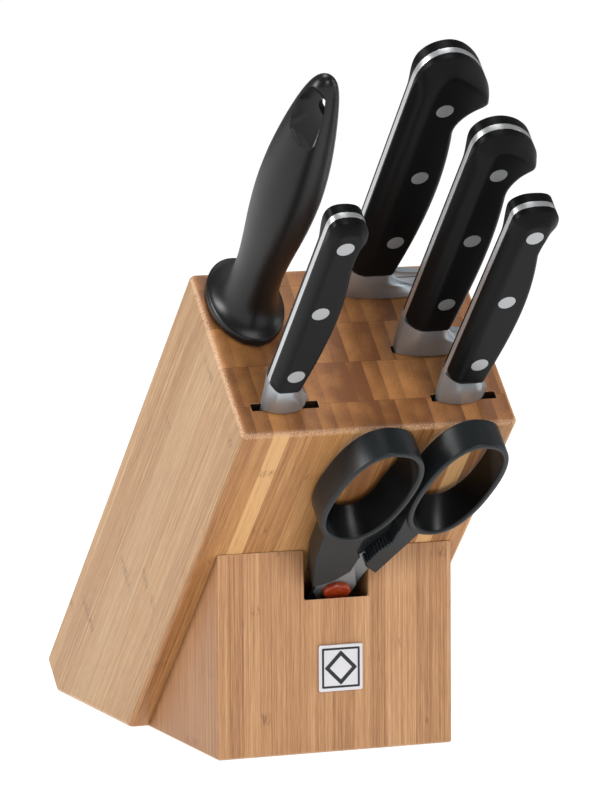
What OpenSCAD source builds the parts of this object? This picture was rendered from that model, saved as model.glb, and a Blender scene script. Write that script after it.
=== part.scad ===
// Leaning knife block of glued bamboo boards on a wedge plinth, with four riveted knives, a
// sharpening steel and kitchen shears. Millimetres, +Z up. The origin is in the middle of the
// body's width, where the leaning front face meets the ground. Seen from the front, +X is right.
//
// Most parts are drawn in the block's own leaning frame, which lean() stands up:
// x is the same, q is the depth behind the front face, and s is the distance up the lean.

/* [Block] */
// Width of the body
body_width = 110; // [108:1:116]
// Depth of the body, square to its leaning front face
body_depth = 78; // [76:1:84]
// Length of the front face, up the lean
body_length = 183.5; // [182:0.5:190]
// Length of the end that is cut square, measured from the body's back
heel_cut = 16.9; // [14:0.1:20]
// Radius of the body's long edges
edge_radius = 2.5; // [1:0.5:4]
// Lean of the front face, from the upright
lean_angle = 45; // [45]
// Width of the knife slots
slot_width = 3.4; // [3.2:0.1:3.8]

/* [Plinth] */
// Height of the wedge under the front face
plinth_height = 78.8; // [76:0.1:80]
// Width of the wedge
plinth_width = 95.9; // [92:0.1:104]
// Side offset of the wedge's middle
plinth_shift = 1.35; // [0:0.05:2]
// Width of the channel for the shears
pocket_width = 25.9; // [25:0.1:28]
// Side offset of the channel's middle
pocket_shift = 1.85; // [1:0.05:3]
// Depth of the channel, square to the front face
pocket_depth = 13.6; // [13:0.1:15]
// Side of the square badge
badge_side = 18; // [14:1:22]
// Height of the badge's middle
badge_height = 32.5; // [24:0.5:40]

/* [Knives] */
// Chef's knife blade length
chef_blade_length = 200; // [180:5:205]
// Slicing knife blade length
slicing_blade_length = 180; // [160:5:195]
// Utility knife blade length
utility_blade_length = 130; // [110:5:150]
// Paring knife blade length
paring_blade_length = 100; // [80:5:120]
// Radius of the handle rivets
rivet_radius = 3.5; // [3:0.1:4]
// Thickness of the full tang
tang_thickness = 2.6; // [2.4:0.1:3.8]
// Thickness of the blades in their slots
blade_thickness = 2.4; // [1.8:0.1:2.4]

/* [Steel] */
// Length of the rod below the guard
rod_length = 200; // [180:5:205]
// Radius of the rod
rod_radius = 5.5; // [4.5:0.1:5.8]
// Radius of the guard
guard_radius = 15.8; // [15:0.1:16]
// Height of the handle's end above the block
steel_top = 130; // [126:1:134]

/* [Shears] */
// Length of the blades below the pivot
shears_blade_length = 72; // [60:1:74]
// Tilt of the shears, clockwise from the lean
shears_tilt = 7.9; // [6:0.1:8]
// Radius of the pivot cap
cap_radius = 5.8; // [5:0.1:6.5]
// Depth of the finger loops
loop_depth = 13; // [11:0.5:13]

/* [Hidden] */
$fn = 64;
KNIVES = ["chef", "slicing", "utility", "paring"];
KNIFE_PIECES = ["blade", "front_scale", "back_scale", "rivets"];

WOOD = "burlywood";
STEEL = "silver";
BLACK = "dimgray";

// depth q of the three rows of slots, which are also the glue lines between the boards
front_row = 13.15;
middle_row = 37;
back_row = 66;
heel_q = body_depth - heel_cut;
slot_margin = 10;

// steel: place on the top face, and bore
steel_x = -38.8;
steel_q = 58.5;
steel_bore_radius = 6.3;
guard_lift = 0.4;
steel_seat = guard_lift + 4;
steel_tang_radius = 4;
steel_tang_length = 70;

// shears: pivot place, and the layers of its two halves
pivot_x = 2.6;
pivot_s = body_length - 85.5;
shears_q = -8;
half_thickness = 2.05;
half_gap = 0.3;
pivot_radius = 2.5;
running_clearance = 0.05;

// Knife sizes, one row each, in the knife's own frame: x is measured from the line of rivets,
// y up from the block's top face.
// row: depth q, x of the rivets on the top face, tilt, blade length, blade height,
//      handle end, beak height, base of the scales, half thickness,
//      spine x, belly x, hook x, beak x, neck x, rivet heights, bolster thickness at its foot
CHEF = [back_row, 12.9, 1.6, chef_blade_length, 43, 134, 110, 17, 7.7,
        -13, 11.2, 7.5, 17.7, 5.3, [36.4, 72.9, 109.4], 8.8];
SLICING = [middle_row, 24.9, 1.2, slicing_blade_length, 31, 125, 108, 19, 7.7,
           -10.9, 10, 7.4, 15.2, 6.7, [34.6, 70.7, 106.8], 7.6];
UTILITY = [front_row, 32.8, 0.4, utility_blade_length, 19, 109.8, 101, 16, 6.9,
           -8.8, 10.2, 5.7, 8.9, 6, [27.1, 62.9, 98.7], 6.8];
PARING = [front_row, -39, 0.7, paring_blade_length, 17, 107.8, 97.4, 16, 6.9,
          -6.6, 9.8, 6.9, 8.8, 5, [25.5, 61.2, 96.8], 6.8];

function knife_q(k) = k[0];
function knife_x(k) = k[1];
function knife_tilt(k) = k[2];
function blade_length(k) = k[3];
function blade_height(k) = k[4];
function handle_end(k) = k[5];
function beak_height(k) = k[6];
function scale_base(k) = k[7];
function half_handle(k) = k[8];
function spine_x(k) = k[9];
function belly_x(k) = k[10];
function hook_x(k) = k[11];
function beak_x(k) = k[12];
function neck_x(k) = k[13];
function rivet_heights(k) = k[14];
function bolster_foot(k) = k[15];

// ---- helpers ----

// cubic Bezier curve from a to d, without its last point
function curve(a, b, c, d, steps = 8) =
    [for (i = [0:steps - 1]) let (t = i / steps, u = 1 - t)
        u * u * u * a + 3 * u * u * t * b + 3 * u * t * t * c + t * t * t * d];

// squared-off ellipse
function loop_outline(rx, ry, power = 0.84, steps = 40) =
    [for (i = [0:steps - 1]) let (a = 360 * i / steps)
        [rx * sign(cos(a)) * pow(abs(cos(a)), power), ry * sign(sin(a)) * pow(abs(sin(a)), power)]];

module lean() {
    rotate([lean_angle, 0, 0]) children();
}

// extrudes an (x, s) outline from depth q0 to q1
module plate(q0, q1) {
    translate([0, q1, 0]) rotate([90, 0, 0]) linear_extrude(q1 - q0) children();
}

// extrudes a (q, s) outline across the width, about x = 0
module across(width) {
    translate([-width / 2, 0, 0]) rotate([90, 0, 90]) linear_extrude(width) children();
}

// cylinder square to the front face, from depth q0 to q1
module pin(x, s, radius, q0, q1) {
    translate([x, q1, s]) rotate([90, 0, 0]) cylinder(h = q1 - q0, r = radius);
}

// ---- block ----

// The body's outer form: rounded long edges, a foot cut level with the ground, a square heel
module body_form() {
    r = edge_radius;
    half = body_width / 2;
    intersection() {
        across(body_width) polygon([[0, 0], [0, body_length], [body_depth, body_length],
                                    [body_depth, -heel_q], [heel_q, -heel_q]]);
        union() {
            translate([-half + r, 0, -body_length])
                cube([body_width - 2 * r, body_depth, 3 * body_length]);
            translate([-half, r, -body_length])
                cube([body_width, body_depth - 2 * r, 3 * body_length]);
            for (x = [-half + r, half - r], q = [r, body_depth - r])
                translate([x, q, -body_length]) cylinder(h = 3 * body_length, r = r);
        }
    }
}

// Slot for one knife, from the top face down past the blade's point
module slot(k, left, right) {
    depth = blade_length(k) + slot_margin;
    translate([left, knife_q(k) - slot_width / 2, body_length - depth])
        cube([right - left, slot_width, depth + 1]);
}

module slots() {
    slot(CHEF, 1.4, 47);
    slot(SLICING, 14.4, 49);
    slot(UTILITY, 23.4, 49.5);
    slot(PARING, -48.2, -21.6);
}

module steel_bore() {
    translate([steel_x, steel_q, body_length - rod_length - slot_margin])
        cylinder(h = rod_length + slot_margin + 1, r = steel_bore_radius);
}

module dowels() {
    for (x = [-34, 36]) pin(x, 45, 4, -18, 10);
}

module board(q0, q1) {
    color(WOOD) lean() difference() {
        intersection() {
            body_form();
            translate([-body_width, q0, -body_length])
                cube([2 * body_width, q1 - q0, 3 * body_length]);
        }
        slots();
        steel_bore();
        dowels();
    }
}

module plinth() {
    h = plinth_height;
    left = pocket_shift - pocket_width / 2;
    color(WOOD) difference() {
        translate([plinth_shift, 0, 0]) across(plinth_width) polygon([[0, 0], [-h, h], [-h, 0]]);
        lean() {
            // channel that the shears stand in
            translate([left, -pocket_depth, 22]) cube([pocket_width, 2 * pocket_depth, 200]);
            // room beside their points, below the part that shows
            translate([left - 7, -pocket_depth, 22]) cube([8, 2 * pocket_depth, 50]);
            dowels();
        }
    }
}

module plinth_dowels() {
    color(WOOD) lean() dowels();
}

module badge_plate() {
    color(STEEL) translate([3.1 - badge_side / 2, -plinth_height - 1, badge_height - badge_side / 2])
        cube([badge_side, 1, badge_side]);
}

// plain border line and a lozenge
module badge_inlay() {
    line = 0.8;
    border = badge_side - 2.6;
    lozenge = badge_side * 0.48;
    color(BLACK) translate([3.1, -plinth_height - 1, badge_height]) rotate([90, 0, 0])
        linear_extrude(0.2) {
            difference() {
                square(border, center = true);
                square(border - 2 * line, center = true);
            }
            rotate(45) difference() {
                square(lozenge, center = true);
                square(lozenge - 2.4 * line, center = true);
            }
        }
}

// ---- knives ----

module place_knife(k) {
    lean() translate([knife_x(k), knife_q(k), body_length]) rotate([0, -knife_tilt(k), 0])
        children();
}

// Side view of the handle: straight spine, rounded end, beak, hook and belly
module handle_outline(k) {
    top = handle_end(k);
    beak = beak_height(k);
    hook = beak - 13;
    shoulder = top - (top - beak) * 0.6;
    middle = [spine_x(k) * 0.1, top];
    polygon(concat(
        [[spine_x(k), scale_base(k)]],
        curve([spine_x(k), shoulder], [spine_x(k), top - 3], [middle[0] - 5, top], middle),
        curve(middle, [middle[0] + beak_x(k) * 0.5, top], [beak_x(k), beak + 9],
              [beak_x(k), beak]),
        curve([beak_x(k), beak], [beak_x(k) * 0.75, beak - 2], [hook_x(k), beak - 6],
              [hook_x(k), hook]),
        curve([hook_x(k), hook], [belly_x(k), hook - 22], [belly_x(k), scale_base(k) + 33],
              [neck_x(k), scale_base(k)]),
        [[neck_x(k), scale_base(k)]]));
}

function edge_x(k) = spine_x(k) + 1.5 + blade_height(k);

module blade_outline(k) {
    spine = spine_x(k) + 1.5;
    long = blade_length(k);
    polygon(concat(
        [[spine, 1], [spine, -0.9 * long], [spine + 2, -long]],
        curve([spine + 3, -long], [spine + blade_height(k) * 0.8, -0.85 * long],
              [edge_x(k), -0.6 * long], [edge_x(k), 0]),
        [[edge_x(k), 1]]));
}

// Bolster: as wide as the handle above and as the blade below
module bolster(k) {
    base = scale_base(k);
    t = half_handle(k);
    foot = bolster_foot(k) / 2;
    intersection() {
        plate(-t, t) polygon([[spine_x(k), base], [neck_x(k), base], [neck_x(k) + 3, base - 6],
                              [edge_x(k), 3], [edge_x(k), 0.5], [spine_x(k) + 1.5, 0.5]]);
        across(200) polygon([[t - 0.4, base + 1], [t - 1, base - 6], [foot, 0], [-foot, 0],
                             [1 - t, base - 6], [0.4 - t, base + 1]]);
    }
}

module rivet_pins(k) {
    for (y = rivet_heights(k)) pin(0, y, rivet_radius, -half_handle(k), half_handle(k));
}

// One forging: blade, bolster and full tang
module knife_blade(k) {
    color(STEEL) place_knife(k) difference() {
        union() {
            plate(-blade_thickness / 2, blade_thickness / 2) blade_outline(k);
            bolster(k);
            plate(-tang_thickness / 2, tang_thickness / 2) handle_outline(k);
        }
        rivet_pins(k);
    }
}

module knife_scale(k, q0, q1) {
    color(BLACK) place_knife(k) difference() {
        plate(q0, q1) handle_outline(k);
        rivet_pins(k);
    }
}

module knife_rivets(k) {
    color(STEEL) place_knife(k) rivet_pins(k);
}

module knife_piece(k, piece) {
    half_tang = tang_thickness / 2;
    if (piece == "blade") knife_blade(k);
    if (piece == "front_scale") knife_scale(k, -half_handle(k), -half_tang);
    if (piece == "back_scale") knife_scale(k, half_tang, half_handle(k));
    if (piece == "rivets") knife_rivets(k);
}

// ---- sharpening steel ----

module place_steel() {
    lean() translate([steel_x, steel_q, body_length]) children();
}

module steel_rod() {
    color(STEEL) place_steel() {
        cylinder(h = steel_seat + steel_tang_length, r = steel_tang_radius);
        translate([0, 0, -rod_length + rod_radius])
            cylinder(h = rod_length - rod_radius + steel_seat, r = rod_radius);
        translate([0, 0, -rod_length])
            cylinder(h = rod_radius, r1 = rod_radius * 0.45, r2 = rod_radius);
    }
}

// Grip turned about the rod: guard, neck, belly and rounded end
module steel_profile() {
    neck = [9.2, 24];
    belly = [12.6, 70];
    polygon(concat(
        [[0, guard_lift], [guard_radius - 0.6, guard_lift], [guard_radius, 1], [guard_radius, 4]],
        curve([guard_radius - 0.5, 4.7], [12, 8], [9.2, 14], neck),
        curve(neck, [9.2, 36], [12.6, 54], belly),
        curve(belly, [12.6, 100], [8, 112], [6.4, 121], 10),
        curve([6.4, 121], [5.2, 128], [3, steel_top], [0, steel_top], 6),
        [[0, steel_top]]));
}

// Drop-shaped hole to hang the steel by
module hanging_eye() {
    across(40) {
        translate([0, 112]) circle(5.2);
        translate([0, 93]) circle(2);
        polygon([[-2, 93], [2, 93], [5.2, 112], [-5.2, 112]]);
    }
}

module steel_handle() {
    color(BLACK) place_steel() difference() {
        rotate_extrude() steel_profile();
        hanging_eye();
        translate([0, 0, -1]) cylinder(h = steel_seat + 1, r = rod_radius);
        cylinder(h = steel_seat + steel_tang_length, r = steel_tang_radius);
    }
}

// ---- shears ----

module place_shears() {
    lean() translate([pivot_x, shears_q, pivot_s]) rotate([0, shears_tilt, 0]) children();
}

// Blade and tang of one half, with the tang's own points given; its edge side is +x
module shears_blade_outline(tang) {
    long = shears_blade_length;
    polygon(concat([[-9.5, 6]], tang,
                   [[7.5, 3], [7, -6], [4, -0.6 * long], [1.2, -long + 2],
                    [-0.5, -long], [-2.4, -0.9 * long], [-3.6, -0.4 * long], [-4.5, -8],
                    [-9, -2]]));
}

module left_blade_plate() {
    plate(-half_gap / 2 - half_thickness, -half_gap / 2)
        shears_blade_outline([[-9, 30], [-4.5, 30], [2, 14]]);
}

module right_blade_plate() {
    plate(half_gap / 2, half_gap / 2 + half_thickness) mirror([1, 0])
        shears_blade_outline([[-12.4, 27], [-8.5, 25], [-1.5, 18], [-1, 13]]);
}

module shears_left_blade() {
    color(STEEL) place_shears() difference() {
        left_blade_plate();
        pin(0, 0, pivot_radius, -20, 20);
    }
}

module shears_right_blade() {
    color(STEEL) place_shears() difference() {
        right_blade_plate();
        pin(0, 0, pivot_radius + running_clearance, -20, 20);
    }
}

// Finger loop with a wall 2.3 thick, about (x, y)
module finger_loop(x, y, rx, ry, turn) {
    translate([x, y]) rotate(turn) difference() {
        polygon(loop_outline(rx + 2.3, ry + 2.3));
        polygon(loop_outline(rx, ry));
    }
}

module shears_left_handle() {
    color(BLACK) place_shears() difference() {
        union() {
            plate(-loop_depth / 2, loop_depth / 2) finger_loop(-12.6, 61, 14, 24.4, -4);
            plate(-4.5, 4.5) polygon([[-21.5, 37], [-18.7, 21], [-12.4, 4], [-9.5, 4.8], [-4.3, 8.7],
                                      [-0.5, 14], [-0.5, 21.7], [-3.9, 27], [-3.9, 34],
                                      [-1, 38], [-8, 36.6], [-15, 35]]);
        }
        left_blade_plate();
    }
}

module shears_right_handle() {
    color(BLACK) place_shears() difference() {
        union() {
            plate(-loop_depth / 2, loop_depth / 2) finger_loop(20.9, 67.2, 12.8, 25, -4);
            plate(-4.5, 3) polygon([[7.4, 52], [8.9, 39.2], [9.3, 32.5], [5.8, 26], [4, 18.7],
                                    [4.7, 17], [10.4, 13.4], [18, 38.5], [22, 40.5],
                                    [14.5, 43.8], [10.5, 47.5]]);
        }
        right_blade_plate();
    }
}

module shears_pivot() {
    back = half_gap / 2 + half_thickness;
    color(STEEL) place_shears() {
        pin(0, 0, pivot_radius, -half_gap / 2 - half_thickness, back + half_gap);
        pin(0, 0, 5, back + half_gap, back + half_gap + 1.5);
    }
}

module shears_cap() {
    front = -half_gap / 2 - half_thickness;
    color("orangered") place_shears() difference() {
        pin(0, 0, cap_radius, front - 2, front);
        pin(0, 0, 1.2, front - 3, front - 1.4);
    }
}

// ---- nodes ----

board(0, front_row);  // front_board
board(front_row, middle_row);  // second_board
board(middle_row, back_row);  // third_board
board(back_row, body_depth);  // back_board
plinth();
plinth_dowels();
badge_plate();
badge_inlay();
for (i = [0:3], piece = KNIFE_PIECES)
    knife_piece([CHEF, SLICING, UTILITY, PARING][i], piece);
steel_rod();
steel_handle();
shears_left_blade();
shears_right_blade();
shears_left_handle();
shears_right_handle();
shears_pivot();
shears_cap();
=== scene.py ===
"""Looks for a leaning bamboo knife block with four riveted knives, a sharpening steel and shears.

Shapes are worked out in millimetres and scaled to metres as each mesh is made. Most pieces are drawn in
the block's own leaning frame: x across, q the depth behind the front face, s the distance up the lean.
"""

import math
from collections import namedtuple

import bmesh
import bpy
from mathutils import Matrix, Vector


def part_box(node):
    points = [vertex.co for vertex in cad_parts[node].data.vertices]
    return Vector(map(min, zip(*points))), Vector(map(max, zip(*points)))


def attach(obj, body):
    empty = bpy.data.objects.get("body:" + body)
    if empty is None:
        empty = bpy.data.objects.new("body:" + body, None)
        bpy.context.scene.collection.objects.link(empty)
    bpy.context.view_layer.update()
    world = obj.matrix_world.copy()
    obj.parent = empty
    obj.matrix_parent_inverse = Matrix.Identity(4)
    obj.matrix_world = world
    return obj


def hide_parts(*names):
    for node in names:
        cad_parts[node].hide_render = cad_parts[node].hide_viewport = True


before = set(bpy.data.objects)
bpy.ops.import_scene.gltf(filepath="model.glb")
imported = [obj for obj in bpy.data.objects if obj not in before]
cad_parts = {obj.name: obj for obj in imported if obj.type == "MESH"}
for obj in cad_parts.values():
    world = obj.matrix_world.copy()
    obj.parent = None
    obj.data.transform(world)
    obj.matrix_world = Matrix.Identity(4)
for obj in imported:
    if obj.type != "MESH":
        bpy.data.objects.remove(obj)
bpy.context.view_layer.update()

MM = 0.001
LEAN = Matrix.Rotation(math.radians(45), 4, "X")

# ---- driving dimensions, as in the CAD model ----
HALF_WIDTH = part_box("front_board")[1].x / MM
BODY_DEPTH = 78
BODY_LENGTH = 183.5
HEEL_CUT = 16.9
HEEL_Q = BODY_DEPTH - HEEL_CUT
BODY_EDGE = 2.5
BOARD_ROWS = (0, 13.15, 37, 66, BODY_DEPTH)
BOARDS = ("front_board", "second_board", "third_board", "back_board")
SLOT_WIDTH = 3.4
SLOT_SPARE = 10
SLOT_FLARE = 0.12
PLINTH_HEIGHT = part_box("plinth")[1].z / MM
PLINTH_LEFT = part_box("plinth")[0].x / MM
PLINTH_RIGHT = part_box("plinth")[1].x / MM
POCKET = (-11.1, 14.8)
POCKET_DEPTH = 13.6
POCKET_FOOT = 22
CHANNEL_TOP = 222
EASED_EDGE = 0.9
POINTS_ROOM = (7, 50)
DOWELS = (-34, 36)
DOWEL_HEIGHT = 45
DOWEL_RADIUS = 4
DOWEL_ENDS = (-18, 10)
HOLE_PLAY = 0.05
HOLE_SPARE = 0.2
STEEL_X = -38.8
STEEL_Q = 58.5
STEEL_BORE = 6.3
ROD_LENGTH = 200
ROD_RADIUS = 5.5
STEEL_TOP = 130
PIVOT = (2.6, -8.0, 98.0)
SHEARS_TILT = 7.9
LOOP_HALF_DEPTH = 6.5
LOOP_WALL = 2.3
BLADE_GAP = 0.15
BLADE_BACK = 2.2
# how far a knife's blade stands in from its handle's spine, and its heel from its edge
BLADE_STEP = 1.5
HEEL_SET = 0.8


SIZES = ("name q x tilt blade height top beak base half spine belly hook beak_x neck rivets foot "
         "heel_top slot bevel")


class Knife(namedtuple("Sizes", SIZES)):
    """The sizes of one knife in its own frame: x from the line of rivets, y up from the block's top."""

    def __init__(self, *sizes):
        self.edge = self.spine + BLADE_STEP + self.height
        self.heel = self.edge - HEEL_SET
        self.reach = min(7, -self.spine - 3.4)
        self.place = (LEAN @ Matrix.Translation(Vector((self.x, self.q, BODY_LENGTH)) * MM)
                      @ Matrix.Rotation(math.radians(-self.tilt), 4, "Y"))


KNIVES = (
    Knife("chef", 66, 12.9, 1.6, 200, 43, 134, 110, 17, 7.7,
          -13, 11.2, 7.5, 17.7, 5.3, (36.4, 72.9, 109.4), 5.0, 11.2, (1.4, 47), 7.5),
    Knife("slicing", 37, 24.9, 1.2, 180, 31, 125, 108, 19, 7.7,
          -10.9, 10, 7.4, 15.2, 6.7, (34.6, 70.7, 106.8), 4.4, 10.5, (14.4, 49), 5.8),
    Knife("utility", 13.15, 32.8, 0.4, 130, 19, 109.8, 101, 16, 6.9,
          -8.8, 10.2, 5.7, 8.9, 6, (27.1, 62.9, 98.7), 3.9, 9.5, (23.4, 49.5), 4.8),
    Knife("paring", 13.15, -39, 0.7, 100, 17, 107.8, 97.4, 16, 6.9,
          -6.6, 9.8, 6.9, 8.8, 5, (25.5, 61.2, 96.8), 3.9, 9.5, (-48.2, -21.6), 3.0),
)
# finger loops of the shears: centre x and y, half width, half height, turn, taper below and beside
LEFT_RING = (-12.6, 61.0, 14.0, 24.4, -4, 4.4, 4.5)
RIGHT_RING = (20.9, 67.2, 12.8, 25.0, -4, 7.0, 0.6)
TANG_HALF = 1.25
SPINE_WALL = 0.7
BUTT_WALL = 2.4
# where along a scale its end's bevel begins and is full, and how the back scale differs
BUTT_START = (0.78, 0.9)
BACK_WALL_MORE = 1.4
BACK_REACH_MORE = 1.5
BELLY_REACH = 2.0
BLADE_HALF = 1.2
RIVET_RADIUS = 3.5


# ---- outlines ----

def bezier(a, b, c, d, steps=10):
    """Points of a cubic Bezier curve from a to d, without its last point."""
    points = []
    for i in range(steps):
        t = i / steps
        u = 1 - t
        weights = (u ** 3, 3 * u * u * t, 3 * u * t * t, t ** 3)
        points.append(tuple(sum(w * p[k] for w, p in zip(weights, (a, b, c, d))) for k in (0, 1)))
    return points


def rounded(corners, steps=4):
    """Polygon from (x, y, radius) corners, each with its arc."""
    points = []
    count = len(corners)
    for i, (x, y, radius) in enumerate(corners):
        here = Vector((x, y))
        before = (Vector(corners[i - 1][:2]) - here).normalized()
        after = (Vector(corners[(i + 1) % count][:2]) - here).normalized()
        if radius == 0:
            points.append((x, y))
            continue
        half = before.angle(after) / 2
        reach = radius / math.tan(half)
        start, end = here + before * reach, here + after * reach
        centre = here + (before + after).normalized() * radius / math.sin(half)
        first, last = start - centre, end - centre
        turn = first.angle_signed(last)
        for k in range(steps + 1):
            spoke = first.copy()
            spoke.rotate(Matrix.Rotation(-turn * k / steps, 2))
            points.append(tuple(centre + spoke))
    return points


def area(outline):
    return sum(a[0] * b[1] - b[0] * a[1] for a, b in zip(outline, outline[1:] + outline[:1])) / 2


def inset(outline, distance):
    """The outline, which turns anticlockwise, moved inwards."""
    moved = []
    count = len(outline)
    for i in range(count):
        a, b, c = (Vector(outline[(i + k) % count]) for k in (-1, 0, 1))
        first, second = (b - a).normalized(), (c - b).normalized()
        normal = Vector((-first.y - second.y, first.x + second.x))
        if normal.length < 1e-6:
            moved.append(tuple(b))
            continue
        normal.normalize()
        stretch = max(0.4, normal.dot(Vector((-first.y, first.x))))
        moved.append(tuple(b + normal * distance / stretch))
    return moved


def evenly(points, count):
    """The same open path as count + 1 points at equal steps along it."""
    path = [Vector(p) for p in points]
    lengths = [0.0]
    for a, b in zip(path, path[1:]):
        lengths.append(lengths[-1] + (b - a).length)
    found, k = [], 0
    for i in range(count + 1):
        want = lengths[-1] * i / count
        while k < len(path) - 2 and lengths[k + 1] < want:
            k += 1
        span = lengths[k + 1] - lengths[k]
        found.append(path[k].lerp(path[k + 1], (want - lengths[k]) / span if span else 0))
    return found


def smooth_step(value, low, high):
    t = min(1, max(0, (value - low) / (high - low)))
    return t * t * (3 - 2 * t)


# ---- meshes ----

def directions(steps):
    """Cosine and sine of equal turns all the way round."""
    return [(math.cos(2 * math.pi * i / steps), math.sin(2 * math.pi * i / steps)) for i in range(steps)]


def along_q(a, b, c):
    return Vector((a, c, b))


def along_x(a, b, c):
    return Vector((c, a, b))


def along_s(a, b, c):
    return Vector((a, b, c))


def join(bm, first, second):
    """Faces between two closed rows of vertices."""
    for i in range(len(first)):
        j = (i + 1) % len(first)
        bm.faces.new((first[i], first[j], second[j], second[i]))


def skin(bm, rings, closed=True):
    """Joins rings of points into a tube, with both ends closed if asked."""
    rows = [[bm.verts.new(p) for p in ring] for ring in rings]
    for lower, upper in zip(rows, rows[1:]):
        join(bm, lower, upper)
    if closed:
        bm.faces.new(list(reversed(rows[0])))
        bm.faces.new(rows[-1])
    return rows


def slab(bm, outline, low, high, turn=along_q, rim=0.3, steps=3):
    """A plate of that outline from low to high, with rounded rims."""
    if area(outline) < 0:
        outline = outline[::-1]
    levels = []
    for k in range(steps + 1):
        angle = math.pi / 2 * k / steps
        levels.append((rim * (1 - math.cos(angle)), rim * (1 - math.sin(angle))))
    rings = [(low + rise, cut) for rise, cut in levels]
    rings += [(high - rise, cut) for rise, cut in reversed(levels)]
    return skin(bm, [[turn(a, b, level) for a, b in inset(outline, cut)] for level, cut in rings])


def lathe(bm, profile):
    """Turns a (radius, depth) profile about the q axis; it starts and ends on the axis."""
    steps = 48
    rings = [[along_q(r * c, r * s, h) for c, s in directions(steps)] for r, h in profile[1:-1]]
    rows = skin(bm, rings, closed=False)
    for row, (_, h) in ((rows[0], profile[0]), (rows[-1], profile[-1])):
        tip = bm.verts.new(along_q(0, 0, h))
        for i in range(steps):
            bm.faces.new((row[i], row[(i + 1) % steps], tip))


def finish_mesh(bm, name, sharp=38):
    """Turns a bmesh in millimetres into a mesh in metres, smooth but for its sharp edges."""
    bmesh.ops.remove_doubles(bm, verts=bm.verts, dist=1e-4)
    bmesh.ops.recalc_face_normals(bm, faces=bm.faces)
    for face in bm.faces:
        face.smooth = True
    for edge in bm.edges:
        if len(edge.link_faces) == 2 and edge.calc_face_angle(0) > math.radians(sharp):
            edge.smooth = False
    mesh = bpy.data.meshes.new(name)
    bm.to_mesh(mesh)
    bm.free()
    mesh.transform(Matrix.Scale(MM, 4))
    return mesh


def mesh_of(name, draw, sharp=38):
    """Mesh made by a function that draws into an empty bmesh."""
    bm = bmesh.new()
    draw(bm)
    return finish_mesh(bm, name, sharp)


def new_object(name, data):
    made = bpy.data.objects.new(name, data)
    bpy.context.collection.objects.link(made)
    return made


def evaluated(mesh, modifiers):
    """The mesh after modifiers, each given as (kind, settings)."""
    holder = new_object("holder", mesh)
    for kind, settings in modifiers:
        modifier = holder.modifiers.new(kind.lower(), kind)
        for key, value in settings.items():
            setattr(modifier, key, value)
    bpy.context.view_layer.update()
    result = bpy.data.meshes.new_from_object(holder.evaluated_get(bpy.context.evaluated_depsgraph_get()))
    bpy.data.objects.remove(holder)
    return result


def combined(mesh, tools, operation):
    """The mesh with each tool mesh cut away or joined on."""
    helpers = [new_object("tool", tool) for tool in tools]
    steps = [("BOOLEAN", {"operation": operation, "solver": "EXACT", "object": helper})
             for helper in helpers]
    result = evaluated(mesh, steps)
    for helper in helpers:
        bpy.data.objects.remove(helper)
    return result


def reopened(mesh):
    """A finished mesh as a bmesh in millimetres again."""
    bm = bmesh.new()
    bm.from_mesh(mesh)
    bmesh.ops.scale(bm, vec=Vector((1, 1, 1)) / MM, verts=bm.verts)
    return bm


def eased(mesh, width, segments, angle):
    """The mesh with every edge that turns by more than an angle rounded off."""
    return evaluated(mesh, [("BEVEL", {"width": width * MM, "segments": segments,
                                       "limit_method": "ANGLE", "angle_limit": math.radians(angle)})])


def resharpened(mesh, name, sharp=38):
    """A mesh after cutting, with its smooth and sharp edges worked out again."""
    return finish_mesh(reopened(mesh), name, sharp)


def add_piece(name, mesh, place, body, nodes, material, weighted=True):
    """Puts a finished mesh in its place, on its body, instead of its CAD nodes."""
    piece = new_object(name, mesh)
    piece.matrix_world = place
    mesh.materials.clear()
    mesh.materials.append(material)
    if weighted:
        normals = piece.modifiers.new("even shading", "WEIGHTED_NORMAL")
        normals.keep_sharp = True
    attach(piece, body)
    if nodes:
        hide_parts(*nodes)
    return piece


# ---- materials ----

# spacing of the cane's knuckles along a strip, and how deep the painted shade inside a slot reaches
KNUCKLE_PITCH = 130
SLOT_SHADE_REACH = 60


def shade(colour, gain):
    return tuple(c * gain for c in colour)


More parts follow.
